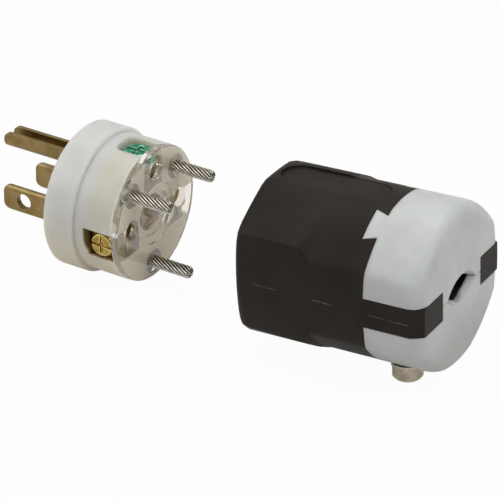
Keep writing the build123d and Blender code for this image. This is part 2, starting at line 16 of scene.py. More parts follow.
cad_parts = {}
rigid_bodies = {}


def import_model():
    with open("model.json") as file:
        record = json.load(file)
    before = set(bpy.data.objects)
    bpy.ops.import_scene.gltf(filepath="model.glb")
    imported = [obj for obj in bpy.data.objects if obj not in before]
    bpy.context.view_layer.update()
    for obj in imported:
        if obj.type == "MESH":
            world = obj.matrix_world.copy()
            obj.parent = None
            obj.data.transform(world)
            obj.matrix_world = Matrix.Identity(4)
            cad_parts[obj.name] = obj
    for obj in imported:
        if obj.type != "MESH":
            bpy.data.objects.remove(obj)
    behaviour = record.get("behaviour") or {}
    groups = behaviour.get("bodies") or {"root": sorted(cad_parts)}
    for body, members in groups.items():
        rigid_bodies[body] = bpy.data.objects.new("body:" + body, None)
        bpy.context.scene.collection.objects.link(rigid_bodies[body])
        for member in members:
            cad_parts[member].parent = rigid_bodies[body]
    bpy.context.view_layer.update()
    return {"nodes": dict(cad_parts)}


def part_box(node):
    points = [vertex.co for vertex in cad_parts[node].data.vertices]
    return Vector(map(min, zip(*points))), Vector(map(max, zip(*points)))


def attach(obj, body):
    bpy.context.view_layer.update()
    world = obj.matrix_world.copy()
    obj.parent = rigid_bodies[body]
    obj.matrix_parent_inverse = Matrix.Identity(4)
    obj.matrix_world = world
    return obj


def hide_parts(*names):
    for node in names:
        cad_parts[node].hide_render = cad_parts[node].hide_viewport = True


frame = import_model()
scene = bpy.context.scene
MM = 0.001

# %% [markdown]
# ## The camera
# The photograph was solved for its camera from the edges of the flange, the blades and the shell, so the
# camera's angles, distance and lens are numbers here. The lens is long, as for a product photograph, which
# keeps lines that are parallel on the plug nearly parallel in the picture.

# %% Camera
image_width_px = 500
focal_length_px = 2431.4
sensor_width_mm = 36
camera_place = Vector((277.814, -405.227, 262.362)) * MM
turn = math.radians(29.992)
tilt = math.radians(29.450)
roll = math.radians(1.620)
forward = Vector((-math.sin(turn) * math.cos(tilt), math.cos(turn) * math.cos(tilt), -math.sin(tilt)))
right = Vector((math.cos(turn), math.sin(turn), 0))
up = right.cross(forward)
camera_x = math.cos(roll) * right + math.sin(roll) * up
camera_y = math.cos(roll) * up - math.sin(roll) * right
camera_data = bpy.data.cameras.new("camera")
camera_data.sensor_fit = "HORIZONTAL"
camera_data.sensor_width = sensor_width_mm
camera_data.lens = focal_length_px * sensor_width_mm / image_width_px
camera_data.clip_start = 0.01
camera_data.clip_end = 10
camera = bpy.data.objects.new("camera", camera_data)
axes = Matrix((camera_x, camera_y, -forward)).transposed().to_4x4()
camera.matrix_world = Matrix.Translation(camera_place) @ axes
scene.collection.objects.link(camera)
scene.camera = camera
print("Camera lens:", round(camera_data.lens, 1), "mm")

# %% [markdown]
# ## Colours and nodes
# A colour is written as the hex value that a screen shows, and one function turns it into the linear numbers
# that the renderer works with. Another small function adds a node, sets it up and links it. Patterns are
# given by the real size of one grain or mark in millimetres, which a third function turns into a scale.


# %% Colour and node helpers
def linear(hex_colour, alpha=1.0):
    """The linear value of an sRGB hex colour such as #c8c8c6."""
    channels = [int(hex_colour[i : i + 2], 16) / 255 for i in (1, 3, 5)]
    return [c / 12.92 if c <= 0.04045 else ((c + 0.055) / 1.055) ** 2.4 for c in channels] + [alpha]


def add_node(tree, kind, settings=None, inputs=None):
    """Adds a node to a tree, sets its properties, and sets or links its inputs by name or number."""
    node = tree.nodes.new(kind)
    for key, value in (settings or {}).items():
        setattr(node, key, value)
    for key, value in (inputs or {}).items():
        if isinstance(value, bpy.types.NodeSocket):
            tree.links.new(value, node.inputs[key])
        else:
            node.inputs[key].default_value = value
    return node


def new_material(name):
    """An empty material with its output node."""
    material = bpy.data.materials.new(name)
    material.use_nodes = True
    material.node_tree.nodes.clear()
    output = add_node(material.node_tree, "ShaderNodeOutputMaterial")
    return material, material.node_tree, output


def pattern_scale(size_mm):
    """A texture's scale for marks of a real size, because Object coordinates are in metres."""
    return 1 / (size_mm * MM)


# %% [markdown]
# ## What every finish here has in common
# No moulded or plated surface has one flat colour. Each drifts slowly between two tones, in patches as wide
# as the melt or the plating bath leaves them, and each has a fine grain that changes how rough it is and
# dents it a little. One function draws that for every material, from the real sizes of patch and grain, and
# each material below then adds what it alone has. A second function does so for the metals that have a third
# tone in one place: a painted highlight where an edge is rounded, or painted shade at the bottom of a groove.
# The real grain of these surfaces is a tenth of a millimetre or finer. A pixel here covers a quarter of a
# millimetre, so grain is drawn at 0.3 mm or more.


# %% Shaders with patches and grain
def surface(name, tones, patch_mm, grain_mm, depth_mm, roughness, settings, stretch=1.0):
    """A material that drifts between two tones, with a grain that dents and roughens it.

    A stretch below 1 draws the grain out along X, as rolling does. The tree, the shader and the tone are
    handed back with the material, for what it adds to them.
    """
    material, tree, output = new_material(name)
    place = add_node(tree, "ShaderNodeTexCoord").outputs["Object"]
    drawn = add_node(tree, "ShaderNodeMapping", inputs={"Vector": place, "Scale": (stretch, 1.0, 1.0)})
    patches = add_node(
        tree,
        "ShaderNodeTexNoise",
        inputs={"Vector": place, "Scale": pattern_scale(patch_mm), "Detail": 3.0, "Roughness": 0.55},
    )
    grain = add_node(
        tree,
        "ShaderNodeTexNoise",
        inputs={
            "Vector": drawn.outputs[0],
            "Scale": pattern_scale(grain_mm),
            "Detail": 3.0,
            "Roughness": 0.6,
        },
    )
    drift = add_node(
        tree, "ShaderNodeMapRange", inputs={"Value": patches.outputs[0], "From Min": 0.35, "From Max": 0.65}
    )
    tone = add_node(
        tree,
        "ShaderNodeMix",
        {"data_type": "RGBA"},
        {0: drift.outputs[0], 6: linear(tones[0]), 7: linear(tones[1])},
    )
    rough = add_node(
        tree,
        "ShaderNodeMapRange",
        inputs={
            "Value": grain.outputs[0],
            "From Min": 0.3,
            "From Max": 0.7,
            "To Min": roughness[0],
            "To Max": roughness[1],
        },
    )
    dents = add_node(tree, "ShaderNodeBump", inputs={"Height": grain.outputs[0], "Distance": depth_mm * MM})
    shader = add_node(
        tree,
        "ShaderNodeBsdfPrincipled",
        inputs={"Base Color": tone.outputs[2], "Roughness": rough.outputs[0], "Normal": dents.outputs[0]},
    )
    for key, value in settings.items():
        shader.inputs[key].default_value = value
    tree.links.new(shader.outputs[0], output.inputs["Surface"])
    return material, tree, shader, tone.outputs[2]


def metal(name, tones, patch_mm, grain_mm, depth_mm, roughness, mark, metallic=1.0, stretch=1.0):
    """Metal in two tones, with a third one where an attribute of the mesh says so.

    The mark holds the attribute's name, its values where the third tone starts and where it is full, and
    that tone.
    """
    attribute, starts_at, full_at, marked_tone = mark
    settings = {"Metallic": metallic}
    material, tree, shader, tone = surface(
        name, tones, patch_mm, grain_mm, depth_mm, roughness, settings, stretch
    )
    marked = add_node(
        tree, "ShaderNodeAttribute", {"attribute_type": "GEOMETRY", "attribute_name": attribute}
    )
    share = add_node(
        tree,
        "ShaderNodeMapRange",
        inputs={"Value": marked.outputs["Fac"], "From Min": starts_at, "From Max": full_at},
    )
    over = add_node(
        tree, "ShaderNodeMix", {"data_type": "RGBA"}, {0: share.outputs[0], 6: tone, 7: linear(marked_tone)}
    )
    tree.links.new(over.outputs[2], shader.inputs["Base Color"])
    return material


# %% [markdown]
# ## The studio
# The photograph has a plain white surround. The floor is a pale plane with the plug's soft shadow. The camera
# sees the surround as white, directly and through the clear cover, while the light on the plug stays at a
# level where a colour renders about as it is written. Reflections meet a dimmer surround, or else the black
# shell would look grey. A large overhead softbox does most of the work, and a weaker one stands on each side,
# because the photograph's ends are almost as light as its tops.

# %% Floor and world
floor_z = -17.0 * MM
floor_half = 4.0
floor_mesh = bpy.data.meshes.new("floor")
signs = ((-1, -1), (1, -1), (1, 1), (-1, 1))
floor_corners = [(x * floor_half, y * floor_half, floor_z) for x, y in signs]
floor_mesh.from_pydata(floor_corners, [], [(0, 1, 2, 3)])
floor = bpy.data.objects.new("floor", floor_mesh)
scene.collection.objects.link(floor)


def seen_directly(tree):
    """1 for the camera and for looks through glass, less for reflections, and 0 for the surround's light."""
    path = add_node(tree, "ShaderNodeLightPath")
    first = add_node(
        tree,
        "ShaderNodeMath",
        {"operation": "MAXIMUM"},
        {0: path.outputs["Is Camera Ray"], 1: path.outputs["Is Transmission Ray"]},
    )
    glossy = add_node(
        tree, "ShaderNodeMath", {"operation": "MULTIPLY"}, {0: path.outputs["Is Glossy Ray"], 1: 0.35}
    )
    return add_node(
        tree, "ShaderNodeMath", {"operation": "MAXIMUM"}, {0: first.outputs[0], 1: glossy.outputs[0]}
    )


floor_paint, tree, output = new_material("white_paper_sweep")
seen = seen_directly(tree)
# The few per cent that are left of the diffuse floor show the plug's shadow
share = add_node(tree, "ShaderNodeMath", {"operation": "MULTIPLY"}, {0: seen.outputs[0], 1: 0.965})
lit = add_node(tree, "ShaderNodeBsdfDiffuse", inputs={"Color": linear("#e8e8e8")})
glow = add_node(tree, "ShaderNodeEmission", inputs={"Color": linear("#ffffff"), "Strength": 1.0})
mixed = add_node(
    tree, "ShaderNodeMixShader", inputs={0: share.outputs[0], 1: lit.outputs[0], 2: glow.outputs[0]}
)
tree.links.new(mixed.outputs[0], output.inputs["Surface"])
floor_mesh.materials.append(floor_paint)

world = bpy.data.worlds.new("studio")
scene.world = world
world.use_nodes = True
tree = world.node_tree
tree.nodes.clear()
output = add_node(tree, "ShaderNodeOutputWorld")
seen = seen_directly(tree)
strength = add_node(
    tree, "ShaderNodeMapRange", inputs={"Value": seen.outputs[0], "To Min": 0.30, "To Max": 1.0}
)
sky = add_node(
    tree, "ShaderNodeBackground", inputs={"Color": linear("#ffffff"), "Strength": strength.outputs[0]}
)
tree.links.new(sky.outputs[0], output.inputs["Surface"])
print("Floor at", floor_z, "m")


# %% Lamps
def softbox(name, place, target, size, power):
    """A large rectangular lamp at a place in millimetres, turned to its target."""
    data = bpy.data.lights.new(name, "AREA")
    data.shape = "RECTANGLE"
    data.size, data.size_y = size[0] * MM, size[1] * MM
    data.energy = power
    lamp = bpy.data.objects.new(name, data)
    lamp.location = Vector(place) * MM
    lamp.rotation_euler = (Vector(target) * MM - lamp.location).to_track_quat("-Z", "Y").to_euler()
    scene.collection.objects.link(lamp)


softbox("overhead_softbox", (20, 60, 420), (40, 0, 0), (420, 320), 0.9)
softbox("left_softbox", (-300, -260, 260), (20, 0, 0), (260, 260), 0.45)
softbox("right_softbox", (400, -60, 330), (40, 0, 0), (260, 260), 0.46)

# %% [markdown]
# ## From CAD solid to moulded piece
# A CAD solid has knife edges, and nothing that comes out of a mould or a press does. Each visible solid is
# copied, its loose triangles are merged into clean faces, and its sharp edges are rounded by a small radius.
# A Weighted Normal modifier then keeps the flat faces looking flat beside their rounded edges. The copy takes
# the solid's place in the picture, and the solid itself stays as it was for collision.


# %% A copy of a solid with rounded edges
MERGE = 0.0015 * MM
FLAT = math.radians(0.6)


def merged_copy(node_name, cuts=()):
    """A bmesh of a CAD node with its doubles merged and its flat areas joined into single faces.

    A large flat face with many holes is cut along planes, each an axis and a place in millimetres,
    because a single outline that winds round every hole is more than the renderer's triangles can follow.
    """
    work = bmesh.new()
    work.from_mesh(frame["nodes"][node_name].data)
    bmesh.ops.remove_doubles(work, verts=work.verts, dist=MERGE)
    bmesh.ops.dissolve_degenerate(work, edges=work.edges, dist=MERGE)
    bmesh.ops.dissolve_limit(work, angle_limit=FLAT, verts=work.verts, edges=work.edges)
    for axis, place in cuts:
        across = Vector((axis == "x", axis == "y", axis == "z"))
        everything = list(work.verts) + list(work.edges) + list(work.faces)
        bmesh.ops.bisect_plane(work, geom=everything, plane_co=across * place * MM, plane_no=across)
    return work


def as_piece(work, name, material, nodes):
    """Turns a bmesh into a finished piece that stands for its CAD nodes."""
    mesh = bpy.data.meshes.new(name)
    work.to_mesh(mesh)
    work.free()
    mesh.polygons.foreach_set("use_smooth", [True] * len(mesh.polygons))
    mesh.set_sharp_from_angle(angle=math.radians(35))
    mesh.materials.append(material)
    piece = bpy.data.objects.new(name, mesh)
    scene.collection.objects.link(piece)
    weighted = piece.modifiers.new("flat_faces_stay_flat", "WEIGHTED_NORMAL")
    weighted.keep_sharp = True
    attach(piece, "root")
    if nodes:
        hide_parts(*nodes)
    return piece


def round_edges(work, radius_mm, segments, where=None):
    """Rounds the edges that turn by more than 28 degrees, or those of them that a test picks.

    The new faces are marked, for materials that paint a highlight on rounded edges.
    """
    highlight_edge = work.faces.layers.float.get("highlight_edge") or work.faces.layers.float.new("highlight_edge")
    sharp = [
        edge
        for edge in work.edges
        if len(edge.link_faces) == 2
        and edge.calc_face_angle(0) > math.radians(28)
        and (where is None or where(edge))
    ]
    rounded = bmesh.ops.bevel(
        work,
        geom=sharp,
        offset=radius_mm * MM,
        offset_type="OFFSET",
        segments=segments,
        profile=0.5,
        affect="EDGES",
        clamp_overlap=True,
    )
    for face in rounded["faces"]:
        face[highlight_edge] = 1.0
    return len(sharp)


def softened(node_name, name, material, radius_mm, segments=2):
    """A node's copy with rounded edges, finished with its material."""
    work = merged_copy(node_name)
    count = round_edges(work, radius_mm, segments)
    piece = as_piece(work, name, material, [node_name])
    print(f"{name}: {count} edges rounded by {radius_mm} mm, {len(piece.data.polygons)} faces")


# %% [markdown]
# ## Translucent moulded nylon
# The contact half's body is natural nylon. Light goes a few millimetres into it and comes out again, so its
# edges glow and its shadows are pale, and the brass behind a thin wall warms the colour. Subsurface
# scattering gives the first. The second is painted light, in four layers: a creamier glow on the core, warmer
# light towards the underside, a painted reflection of the brass in the terminal pockets, and a lighter end
# face under the clear cover. Each is found from the place on the piece. Slow, faint mottling stands for the
# flow of the melt.


# %% Nylon body material
# Natural polyamide 6, injection moulded: milky and satin, cool grey-white where it is thick
nylon_settings = {
    "IOR": 1.53,
    "Subsurface Weight": 1.0,
    "Subsurface Radius": (1.0, 0.95, 0.85),
    "Subsurface Scale": 4.5 * MM,
}
nylon, tree, shader, tone = surface(
    "moulded_natural_nylon",
    tones=("#d6d6d3", "#dfdeda"),
    patch_mm=9.0,
    grain_mm=0.35,
    depth_mm=0.012,
    roughness=(0.32, 0.44),
    settings=nylon_settings,
)
print("Nylon body material ready, still in two tones")

# %% Colour layers of the nylon body
place = add_node(tree, "ShaderNodeTexCoord").outputs["Object"]
parts = add_node(tree, "ShaderNodeSeparateXYZ", inputs={0: place})
# Painted light: creamier on the core than on the flange, a painted glow for the brass behind its thinner
# walls
core = add_node(
    tree,
    "ShaderNodeMapRange",
    inputs={"Value": parts.outputs["X"], "From Min": 9 * MM, "From Max": 12 * MM, "To Max": 0.6},
)
# Warmer towards the underside, where the light has come through more of the plastic
low = add_node(
    tree,
    "ShaderNodeMapRange",
    {"interpolation_type": "SMOOTHSTEP"},
    {"Value": parts.outputs["Z"], "From Min": 6 * MM, "From Max": -13 * MM, "To Max": 0.85},
)
# Painted reflection: inside the terminal pockets the walls are painted the colour of the brass they reflect
across = add_node(tree, "ShaderNodeCombineXYZ", inputs={"Y": parts.outputs["Y"], "Z": parts.outputs["Z"]})
reach = add_node(tree, "ShaderNodeVectorMath", {"operation": "LENGTH"}, {0: across.outputs[0]})
below_skin = add_node(
    tree,
    "ShaderNodeMapRange",
    inputs={"Value": reach.outputs["Value"], "From Min": 15.8 * MM, "From Max": 15.0 * MM},
)
behind_flange = add_node(
    tree,
    "ShaderNodeMapRange",
    inputs={"Value": parts.outputs["X"], "From Min": 8.8 * MM, "From Max": 9.4 * MM},
)
before_end = add_node(
    tree,
    "ShaderNodeMapRange",
    inputs={"Value": parts.outputs["X"], "From Min": 17.4 * MM, "From Max": 17.0 * MM},
)
below_green = add_node(
    tree,
    "ShaderNodeMapRange",
    inputs={"Value": parts.outputs["Z"], "From Min": 8.5 * MM, "From Max": 6.5 * MM},
)
painted_brass_reflection = below_skin
for limit in (behind_flange, before_end, below_green):
    painted_brass_reflection = add_node(
        tree, "ShaderNodeMath", {"operation": "MULTIPLY"}, {0: painted_brass_reflection.outputs[0], 1: limit.outputs[0]}
    )
# The end face under the clear cover looks lighter and warmer, because light is caught between the two
end_face = add_node(
    tree,
    "ShaderNodeMapRange",
    inputs={"Value": parts.outputs["X"], "From Min": 17.2 * MM, "From Max": 17.5 * MM},
)
# All four layers are painted light: a creamier glow, warmer light below, a painted brass reflection, a
# lighter end face
for share, colour in ((core, "#d3cebb"), (low, "#ddd3b6"), (painted_brass_reflection, "#937d43"), (end_face, "#f4ecdc")):
    layer = add_node(
        tree, "ShaderNodeMix", {"data_type": "RGBA"}, {0: share.outputs[0], 6: tone, 7: linear(colour)}
    )
    tone = layer.outputs[2]
tree.links.new(tone, shader.inputs["Base Color"])
print("Nylon body layers:", [node.name for node in (core, low, painted_brass_reflection, end_face)])

# %% [markdown]
# ## The body's windows and step
# Two things are freer here than in the CAD solid. The windows over the side screws are cut a little larger,
# in the D shape that the photograph shows, with a Boolean modifier. The step between flange and core is
# filled with a wide fillet, because the light that goes round inside the nylon makes the real step look soft.


# %% A way to cut a window
def cut_away(work, name, outline, low, high):
    """A bmesh less a prism: an outline of (x, z) points in millimetres, from one y to another."""
    cutter = bmesh.new()
    rings = [[cutter.verts.new((x * MM, y * MM, z * MM)) for x, z in outline] for y in (low, high)]
    cutter.faces.new(rings[0])
    cutter.faces.new(reversed(rings[1]))
    for i in range(len(outline)):
        j = (i + 1) % len(outline)
        cutter.faces.new((rings[0][j], rings[0][i], rings[1][i], rings[1][j]))
    bmesh.ops.recalc_face_normals(cutter, faces=cutter.faces)
    pair = []
    for shape in (work, cutter):
        mesh = bpy.data.meshes.new(name)
        shape.to_mesh(mesh)
        shape.free()
        pair.append(bpy.data.objects.new(name, mesh))
        scene.collection.objects.link(pair[-1])
    boolean = pair[0].modifiers.new("cut", "BOOLEAN")
    boolean.operation = "DIFFERENCE"
    boolean.solver = "EXACT"
    boolean.object = pair[1]
    bpy.context.view_layer.update()
    result = bmesh.new()
    result.from_object(pair[0], bpy.context.evaluated_depsgraph_get())
    for item in pair:
        bpy.data.objects.remove(item)
    return result


# %% Contact half's body
flange_back, core_radius = 9.0, 16.0
window_front, window_back = 10.0, 17.7
window_low, window_high = -6.5, 0.9
window_round = 3.4
window_inside, window_outside = 12.79, core_radius + 2.0
# The window's front lower corner is round, in steps of the angle in radians
window = []
for turned in (0.0, 0.3, 0.6, 0.9, 1.2, 1.57):
    x = window_front + window_round * (1 - math.cos(turned))
    window.append((x, window_low + window_round * (1 - math.sin(turned))))
window += [(window_back, window_low), (window_back, window_high), (window_front, window_high)]
body_work = merged_copy("plug_body")
for low, high in ((-window_outside, -window_inside), (window_inside, window_outside)):
    body_work = cut_away(body_work, "window", window, low, high)
bmesh.ops.remove_doubles(body_work, verts=body_work.verts, dist=MERGE)
bmesh.ops.dissolve_limit(body_work, angle_limit=FLAT, verts=body_work.verts, edges=body_work.edges)


def on_step(edge):
    """True for the inner corner where the core meets the back of the flange."""
    return all(
        abs(v.co.x - flange_back * MM) < 0.01 * MM and v.co.yz.length < (core_radius + 0.2) * MM
        for v in edge.verts
    )


def off_step(edge):
    """True everywhere else."""
    return not on_step(edge)


step_edges = round_edges(body_work, 0.7, 5, where=on_step)
body_edges = round_edges(body_work, 0.22, 2, where=off_step)
nylon_body = as_piece(body_work, "nylon_body", nylon, ["plug_body"])
faces = len(nylon_body.data.polygons)
print("Nylon body:", step_edges, "step edges,", body_edges, "others,", faces, "faces")

# %% [markdown]
# ## Clear moulded polycarbonate
# The retaining cover is polycarbonate, as clear as glass with a faint warm tint, and its moulded steps and
# holes bend the view of what lies behind. A shader with full transmission gives that. Light that only passes
# through to the pieces behind would be lost as a hard dark shadow, so for shadow rays the cover is tinted
# and transparent.

# %% Clear cover material
# Clear polycarbonate: water clear with a slight haze, glossy, with ripples from the mould's polish
clear, tree, shader = surface(
    "moulded_polycarbonate",
    tones=("#f6f0e4", "#fdfaf3"),
    patch_mm=5.0,
    grain_mm=2.2,
    depth_mm=0.012,
    roughness=(0.02, 0.07),
    settings={"IOR": 1.585, "Transmission Weight": 0.9},
)[:3]
path = add_node(tree, "ShaderNodeLightPath")
passing = add_node(tree, "ShaderNodeBsdfTransparent", inputs={"Color": linear("#fdfaf4")})
light_ray = add_node(
    tree,
    "ShaderNodeMath",
    {"operation": "MAXIMUM"},
    {0: path.outputs["Is Shadow Ray"], 1: path.outputs["Is Diffuse Ray"]},
)
mixed = add_node(
    tree,
    "ShaderNodeMixShader",
    inputs={0: light_ray.outputs[0], 1: shader.outputs[0], 2: passing.outputs[0]},
)
output = next(node for node in tree.nodes if node.bl_idname == "ShaderNodeOutputMaterial")
tree.links.new(mixed.outputs[0], output.inputs["Surface"])
print("Clear cover material ready")

# %% Clear cover piece
cover_work = merged_copy("clear_cover", [("y", 0.31), ("z", 5.0), ("z", -5.0), ("x", 18.2)])
# The hub's steps are sunk deeper, so that each ring bends the light as strongly as in the photograph
hub_radius = 7.6
sunk_steps = {19.0: 18.7, 18.7: 18.05, 18.4: 16.9}
# The screw holes lie between these radii, and their front edge is widened to the funnel's
hole_between, funnel_radius, funnel_start = (1.4, 1.8), 2.35, 19.2
screw_middles = []
for name in ("left", "right", "lower"):
    low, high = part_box(f"assembly_screw_{name}")
    screw_middles.append(((Vector(low) + Vector(high)) / 2).yz)
for vert in cover_work.verts:
    from_axis = vert.co.yz.length / MM
    for step, sunk in sunk_steps.items():
        if abs(vert.co.x / MM - step) < 0.01 and from_axis < hub_radius:
            vert.co.x = sunk * MM
            break
    for middle in screw_middles:
        out = vert.co.yz - middle
        if vert.co.x > funnel_start * MM and hole_between[0] * MM < out.length < hole_between[1] * MM:
            vert.co.yz = middle + out.normalized() * funnel_radius * MM
round_edges(cover_work, 0.12, 2)
cover = as_piece(cover_work, "clear_cover_moulding", clear, ["clear_cover"])
print("Clear cover faces:", len(cover.data.polygons))

# %% [markdown]
# ## Rolled brass strip
# The blades and the U-shaped pin are punched and folded from brass strip. Handling has dulled them to an
# olive brown, with faint streaks along the rolling direction. Their rounded edges carry a painted highlight:
# the function that rounds the edges marks the new faces, and the material is painted brighter there.


# %% Brass materials
# Cartridge brass strip, dull from handling: olive brown with faint streaks
strip_brass = metal(
    "rolled_brass_strip",
    tones=("#a08a5c", "#8a7446"),
    patch_mm=4.0,
    grain_mm=0.3,
    depth_mm=0.006,
    roughness=(0.34, 0.46),
    # Painted highlight: the rounded edges are painted a pale brass
    mark=("highlight_edge", 0.0, 1.0, "#eddcae"),
    stretch=0.05,
)
# Free-cutting brass, turned: yellower and brighter than the strip
turned_brass = metal(
    "turned_brass",
    tones=("#c2a557", "#8f7633"),
    patch_mm=0.9,
    grain_mm=0.3,
    depth_mm=0.006,
    roughness=(0.2, 0.36),
    # Painted highlight: the rounded edges are painted a pale brass
    mark=("highlight_edge", 0.0, 1.0, "#ecd898"),
)
print("Brass materials ready")

# %% Blades, pin and terminal plates
# The ends of the blades are rounded wider than in the solid: their corners are squeezed towards the middle
blade_middle = -3.26 * MM
old_round, new_round = 1.0 * MM, 1.9 * MM
for name in ("line", "neutral"):
    blade_work = merged_copy(f"{name}_blade", [("x", -16.1), ("x", -16.4), ("x", -16.8), ("x", -17.2)])
    low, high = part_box(f"{name}_blade")
    half_width = high[2] - blade_middle
    for vert in blade_work.verts:
        left = vert.co.x - low[0]
        if left < new_round:
            old_half = half_width
            if left < old_round:
                old_half -= old_round - math.sqrt(old_round**2 - (old_round - left) ** 2)
            new_half = half_width - new_round + math.sqrt(new_round**2 - (new_round - left) ** 2)
            vert.co.z = blade_middle + (vert.co.z - blade_middle) * new_half / old_half
    round_edges(blade_work, 0.12, 2)
    as_piece(blade_work, f"{name}_blade_strip", strip_brass, [f"{name}_blade"])
softened("ground_pin", "ground_pin_strip", strip_brass, 0.13)
for name in ("line", "neutral", "ground"):
    softened(f"{name}_clamp_plate", f"{name}_wire_plate", strip_brass, 0.12)

# %% [markdown]
# ## Terminal screws
# The line and neutral screws are turned brass, and the ground screw is steel with a green dye in its
# plating, so that nobody mistakes its terminal. Dye lies unevenly, which is why the green drifts between a
# dark and a light tone. Where an edge is rounded it is painted pale, as a highlight.

# %% Terminal screws
# Zinc plating with a green dye: glossy and a little uneven, with rounded edges painted pale as a highlight
green_metal = metal(
    "green_dyed_zinc_plating",
    tones=("#1d7a55", "#49b58a"),
    patch_mm=0.9,
    grain_mm=0.35,
    depth_mm=0.03,
    roughness=(0.16, 0.34),
    # Painted highlight: the rounded edges are painted pale green
    mark=("highlight_edge", 0.0, 1.0, "#9fd9bf"),
    metallic=0.8,
)
softened("line_terminal_screw", "line_screw_turning", turned_brass, 0.14)
softened("neutral_terminal_screw", "neutral_screw_turning", turned_brass, 0.14)
softened("ground_terminal_screw", "ground_screw_turning", green_metal, 0.14)

# %% [markdown]
# ## Zinc-plated steel screws with a steep thread
# The three long screws cut their own way into the shell, and their threads are steep: a dozen ridges climb
# together, so that each one runs at about 30 degrees to the screw. A thread that follows a rule is best grown
# by Geometry Nodes. A circle is pressed in at twelve places, and that star is swept along a line that twists
# by one turn for each lead. The tree also writes down how deep each point lies in its groove, and the
# material uses that to paint shade into the grooves, so that they look nearly black beside the bright ridges.

# %% Zinc-plated steel
# Zinc-plated steel: bright warm grey, with painted shade that makes the grooves nearly black
steel = metal(
    "zinc_plated_steel",
    tones=("#eae6dd", "#c0baae"),
    patch_mm=0.9,
    grain_mm=0.3,
    depth_mm=0.006,
    roughness=(0.16, 0.32),
    # Painted shade: the deeper part of each groove is painted nearly black
    mark=("groove", 0.12, 0.8, "#2b2723"),
)
print("Steel ready")


# %% An empty Geometry Nodes tree and the way to grow a mesh from it
def new_tree(name, sizes):
    """A Geometry Nodes tree with its geometry sockets and its named inputs."""
    tree = bpy.data.node_groups.new(name, "GeometryNodeTree")
    tree.is_modifier = True
    tree.interface.new_socket("Geometry", in_out="INPUT", socket_type="NodeSocketGeometry")
    for size_name, kind in sizes.items():
        tree.interface.new_socket(size_name, in_out="INPUT", socket_type=kind)
    tree.interface.new_socket("Geometry", in_out="OUTPUT", socket_type="NodeSocketGeometry")
    return tree, tree.nodes.new("NodeGroupInput"), tree.nodes.new("NodeGroupOutput")


def grow(name, tree, sizes, points=()):
    """The plain mesh that a tree grows from its sizes, and from a line of points where it needs one."""
    seed_mesh = bpy.data.meshes.new(name + "_seed")
    seed_mesh.from_pydata(points, [(i, i + 1) for i in range(len(points) - 1)], [])
    seed = bpy.data.objects.new(name + "_seed", seed_mesh)
    scene.collection.objects.link(seed)
    modifier = seed.modifiers.new("grow", "NODES")
    modifier.node_group = tree
    for item in tree.interface.items_tree:
        if item.in_out == "INPUT" and item.name in sizes:
            modifier[item.identifier] = sizes[item.name]
    bpy.context.view_layer.update()
    evaluated = seed.evaluated_get(bpy.context.evaluated_depsgraph_get())
    mesh = bpy.data.meshes.new_from_object(evaluated)
    mesh.name = name
    seed.modifiers.clear()
    bpy.data.objects.remove(seed)
    bpy.data.meshes.remove(seed_mesh)
    return mesh


# %% Tree for the steep thread: a line that twists, and its taper
FLOAT, WHOLE, POINT = "NodeSocketFloat", "NodeSocketInt", "NodeSocketVector"
thread_sizes = {
    "Start": POINT,
    "End": POINT,
    "Radius": FLOAT,
    "Groove depth": FLOAT,
    "Starts": WHOLE,
    "Lead": FLOAT,
    "Tip scale": FLOAT,
    "Tip length": FLOAT,
    "Steps": WHOLE,
    "Material": "NodeSocketMaterial",
}
thread_tree, given, result = new_tree("multi_start_thread", thread_sizes)
line = add_node(
    thread_tree,
    "GeometryNodeCurvePrimitiveLine",
    inputs={"Start": given.outputs["Start"], "End": given.outputs["End"]},
)
steps = add_node(
    thread_tree,
    "GeometryNodeResampleCurve",
    inputs={"Curve": line.outputs[0], "Count": given.outputs["Steps"]},
)
along = add_node(thread_tree, "GeometryNodeSplineParameter")
turns = add_node(
    thread_tree,
    "ShaderNodeMath",
    {"operation": "DIVIDE"},
    {0: along.outputs["Length"], 1: given.outputs["Lead"]},
)
angle = add_node(
    thread_tree, "ShaderNodeMath", {"operation": "MULTIPLY"}, {0: turns.outputs[0], 1: 2 * math.pi}
)
twisted = add_node(
    thread_tree, "GeometryNodeSetCurveTilt", inputs={"Curve": steps.outputs[0], "Tilt": angle.outputs[0]}
)
length = add_node(thread_tree, "GeometryNodeSplineLength")
left_over = add_node(
    thread_tree,
    "ShaderNodeMath",
    {"operation": "SUBTRACT"},
    {0: length.outputs["Length"], 1: along.outputs["Length"]},
)
taper = add_node(
    thread_tree,
    "ShaderNodeMapRange",
    {"interpolation_type": "SMOOTHSTEP"},
    {
        "Value": left_over.outputs[0],
        "From Min": 0.0,
        "From Max": given.outputs["Tip length"],
        "To Min": given.outputs["Tip scale"],
        "To Max": 1.0,
    },
)
print("Nodes for the twisting line:", len(thread_tree.nodes))

# %% Tree for the steep thread: the star-shaped section
circle = add_node(
    thread_tree,
    "GeometryNodeCurvePrimitiveCircle",
    inputs={"Radius": given.outputs["Radius"], "Resolution": 144},
)
place = add_node(thread_tree, "GeometryNodeInputPosition")
split = add_node(thread_tree, "ShaderNodeSeparateXYZ", inputs={0: place.outputs[0]})
around = add_node(
    thread_tree, "ShaderNodeMath", {"operation": "ARCTAN2"}, {0: split.outputs["Y"], 1: split.outputs["X"]}
)
phase = add_node(
    thread_tree,
    "ShaderNodeMath",
    {"operation": "MULTIPLY"},
    {0: around.outputs[0], 1: given.outputs["Starts"]},
)
wave = add_node(thread_tree, "ShaderNodeMath", {"operation": "SINE"}, {0: phase.outputs[0]})
half = add_node(
    thread_tree, "ShaderNodeMath", {"operation": "MULTIPLY_ADD"}, {0: wave.outputs[0], 1: -0.5, 2: 0.5}
)
hollow = add_node(thread_tree, "ShaderNodeMath", {"operation": "POWER"}, {0: half.outputs[0], 1: 1.4})
